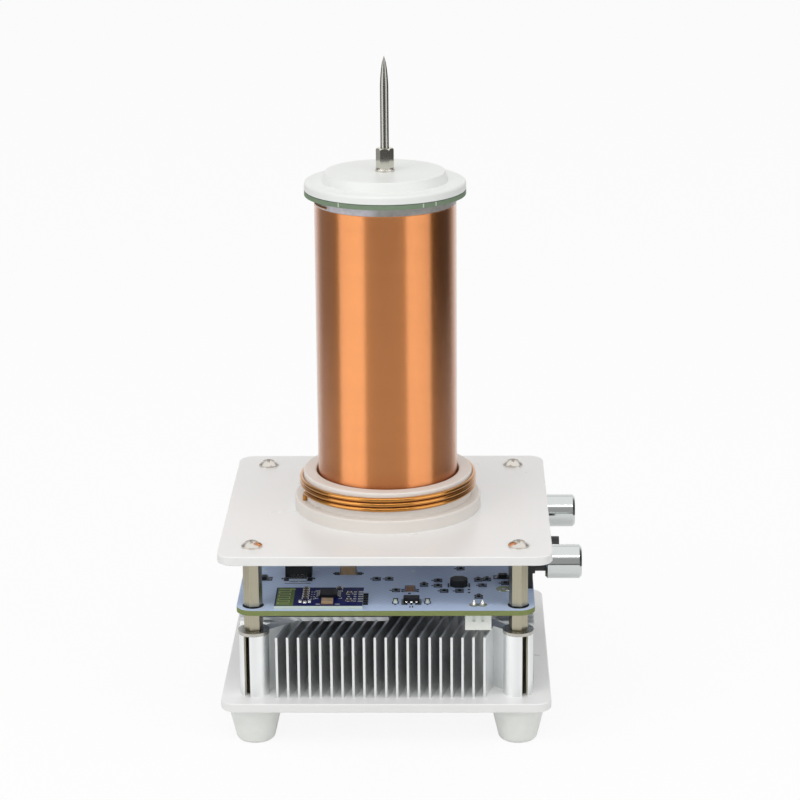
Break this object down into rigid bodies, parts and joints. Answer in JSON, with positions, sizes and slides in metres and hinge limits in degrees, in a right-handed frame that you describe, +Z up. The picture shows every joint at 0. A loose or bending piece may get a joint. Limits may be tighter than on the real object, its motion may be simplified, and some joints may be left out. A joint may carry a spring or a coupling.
{
  "type": "desktop resonant transformer",
  "caption": "Desktop resonant transformer: square base on feet, heatsink, driver board with knobs, top plate, short primary coil, tall copper secondary, capped top and needle electrode.",
  "frame": {"origin": "on the surface it stands on, at the middle of the box in X and Y; the coils' axis stands 4.85 mm to the left of it, because the knobs reach out on the right", "axes": "+Z up along the coils' axis, +X to the right towards the knobs, +Y away from the front"},
  "size_m": [0.1098, 0.1, 0.203],
  "materials": {
    "white_rubber": "soft satin, moulded",
    "white_acrylic": "cast sheet, gloss",
    "white_moulding": "smooth satin",
    "header_nylon": "satin, moulded",
    "extruded_aluminium": "extruded, lightly etched",
    "sheet_aluminium": "rolled",
    "nickel_brass": "nickel plated",
    "nickel_steel": "nickel plated, bright",
    "washer_steel": "pressed, plated",
    "needle_steel": "ground and polished",
    "knob_metal": "turned and bright plated",
    "enamelled_copper": "enamelled, gloss",
    "tube_plastic": "extruded, smooth",
    "board_white": "white solder mask on glass fibre",
    "board_green": "green mask on glass fibre",
    "board_blue": "blue solder mask on glass fibre",
    "black_moulding": "moulded, fine grain",
    "tinned_metal": "tin plated",
    "brown_ceramic": "fired, smooth",
    "tan_film": "smooth",
    "lamp_lens": "translucent lens",
    "can_aluminium": "drawn can"
  },
  "bodies": {
    "chassis": {"feet": "white_rubber", "foot_screws": "nickel_steel", "base_plate": "white_acrylic", "heatsink": "extruded_aluminium", "post_pillars": "nickel_brass", "post_washers": "washer_steel", "lower_pillars": "nickel_brass", "circuit_board": "board_white", "upper_pillars": "nickel_brass", "top_plate": "white_acrylic", "plate_screws": "nickel_steel", "primary_former": "white_moulding", "primary_coil": "enamelled_copper", "primary_leads": "enamelled_copper", "secondary_tube": "tube_plastic", "secondary_winding": "enamelled_copper", "secondary_base_lead": "enamelled_copper", "topload_disc": "board_green", "top_cap": "white_moulding", "terminal_washer": "nickel_steel", "terminal_post": "nickel_brass", "terminal_screw": "nickel_steel", "discharge_needle": "needle_steel", "front_potentiometer": "black_moulding", "rear_potentiometer": "black_moulding", "audio_socket": "black_moulding", "power_socket": "black_moulding", "header_housing": "header_nylon", "header_pins": "tinned_metal", "heat_spreader": "sheet_aluminium", "power_transistors": "black_moulding", "transistor_screws": "nickel_steel", "wireless_module": "board_blue", "module_chip": "black_moulding", "module_crystal": "tan_film", "module_chip_parts": "brown_ceramic", "module_pins": "tinned_metal", "voltage_regulator": "black_moulding", "power_inductor": "black_moulding", "film_capacitor": "tan_film", "switching_transistor": "black_moulding", "switching_transistor_tab": "tinned_metal", "ceramic_capacitors": "brown_ceramic", "chip_resistors": "black_moulding", "diodes": "black_moulding", "indicator_lamps": "lamp_lens", "driver_chips": "black_moulding", "storage_capacitor": "can_aluminium"},
    "front_knob_body": {"front_shaft": "black_moulding", "front_knob": "knob_metal"},
    "rear_knob_body": {"rear_shaft": "black_moulding", "rear_knob": "knob_metal"}
  },
  "joints": [
    {"name": "front_knob_turn", "type": "hinge", "parent": "chassis", "child": "front_knob_body", "pos_m": [0.04375, -0.0211, 0.0501], "axis": [1, 0, 0], "range_deg": [-150, 150]},
    {"name": "rear_knob_turn", "type": "hinge", "parent": "chassis", "child": "rear_knob_body", "pos_m": [0.04375, 0.0276, 0.0501], "axis": [1, 0, 0], "range_deg": [-150, 150]}
  ]
}
